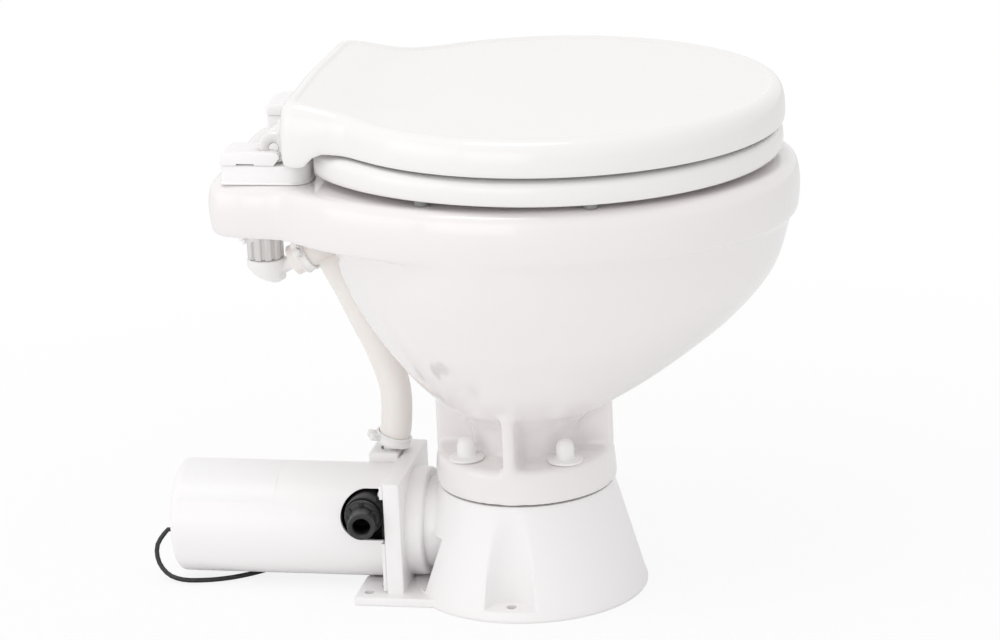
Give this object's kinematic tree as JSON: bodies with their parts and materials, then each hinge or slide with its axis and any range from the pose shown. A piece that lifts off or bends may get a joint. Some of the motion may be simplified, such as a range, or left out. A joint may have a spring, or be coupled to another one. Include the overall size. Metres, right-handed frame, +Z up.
{
  "type": "electric_marine_toilet",
  "caption": "Ceramic bowl on a moulded conical base, with a white motor pump housing behind, hinged seat and lid, rinse hose and thin supply lead",
  "frame": {"origin": "centre of the base cone on the floor plane", "axes": "+Z up, -Y towards the front of the bowl, +Y along the motor towards the hinge side, +X to the user's left when seated facing -Y"},
  "size_m": [0.3458, 0.5554, 0.4411],
  "materials": {
    "vitreous_china": "glossy glaze",
    "white_moulding": "satin",
    "gloss_white": "glossy",
    "black_plastic": "satin",
    "black_rubber": "matt",
    "grey_rubber": "matt",
    "translucent_nylon": "milky",
    "rinse_vinyl": "satin",
    "stainless_steel": "brushed",
    "ferrite": "matt",
    "copper_winding": "varnished"
  },
  "bodies": {
    "toilet": {"pedestal_base": "white_moulding", "bowl_seal": "black_rubber", "ceramic_bowl": "vitreous_china", "foot_bolt_1": "stainless_steel", "bolt_cap_1": "gloss_white", "foot_bolt_2": "stainless_steel", "bolt_cap_2": "gloss_white", "foot_bolt_3": "stainless_steel", "bolt_cap_3": "gloss_white", "foot_bolt_4": "stainless_steel", "bolt_cap_4": "gloss_white", "hinge_base_near": "white_moulding", "hinge_cover_near": "white_moulding", "hinge_pin_near": "stainless_steel", "hinge_bolt_near": "stainless_steel", "wing_nut_near": "white_moulding", "hinge_base_far": "white_moulding", "hinge_cover_far": "white_moulding", "hinge_pin_far": "stainless_steel", "hinge_bolt_far": "stainless_steel", "wing_nut_far": "white_moulding", "spud_nut": "translucent_nylon", "inlet_elbow": "translucent_nylon", "rinse_hose": "rinse_vinyl", "hose_clamp_top": "translucent_nylon", "hose_clamp_bottom": "translucent_nylon", "discharge_housing": "black_plastic", "shaft_seal": "black_rubber", "joker_valve": "black_rubber", "discharge_nozzle": "black_plastic", "rinse_pump_housing": "black_plastic", "rinse_port": "translucent_nylon", "intake_port": "black_plastic", "motor_can": "stainless_steel", "motor_end_bell": "stainless_steel", "bearing_front": "stainless_steel", "bearing_rear": "stainless_steel", "magnet_ring": "ferrite", "motor_cover": "white_moulding", "cover_screw_1": "stainless_steel", "cover_screw_2": "stainless_steel", "cover_screw_3": "stainless_steel", "cover_screw_4": "stainless_steel", "cord_grommet": "black_rubber", "cord_coil": "black_rubber", "cord_lead": "black_rubber", "cord_tail": "black_rubber"},
    "lid": {"toilet_lid": "gloss_white", "lid_bumper_near": "grey_rubber", "lid_bumper_far": "grey_rubber"},
    "seat": {"toilet_seat": "gloss_white", "seat_bumper_1": "grey_rubber", "seat_bumper_2": "grey_rubber", "seat_bumper_3": "grey_rubber", "seat_bumper_4": "grey_rubber"},
    "rotor": {"motor_shaft": "stainless_steel", "armature": "copper_winding", "macerator_cutter": "stainless_steel", "waste_impeller": "black_plastic", "rinse_impeller": "black_rubber"}
  },
  "joints": [
    {"name": "lid_hinge", "type": "hinge", "parent": "toilet", "child": "lid", "pos_m": [0, 0.177, 0.3995], "axis": [-1, 0, 0], "range_deg": [0, 98]},
    {"name": "seat_hinge", "type": "hinge", "parent": "toilet", "child": "seat", "pos_m": [0, 0.177, 0.3995], "axis": [-1, 0, 0], "range_deg": [0, 93.5]},
    {"name": "rotor_spin", "type": "hinge", "parent": "toilet", "child": "rotor", "pos_m": [0, 0.1, 0.052], "axis": [0, 1, 0], "continuous": true}
  ],
  "couplings": [
    {"joint": "seat_hinge", "follows": "lid_hinge", "ratio": 0.95}
  ]
}
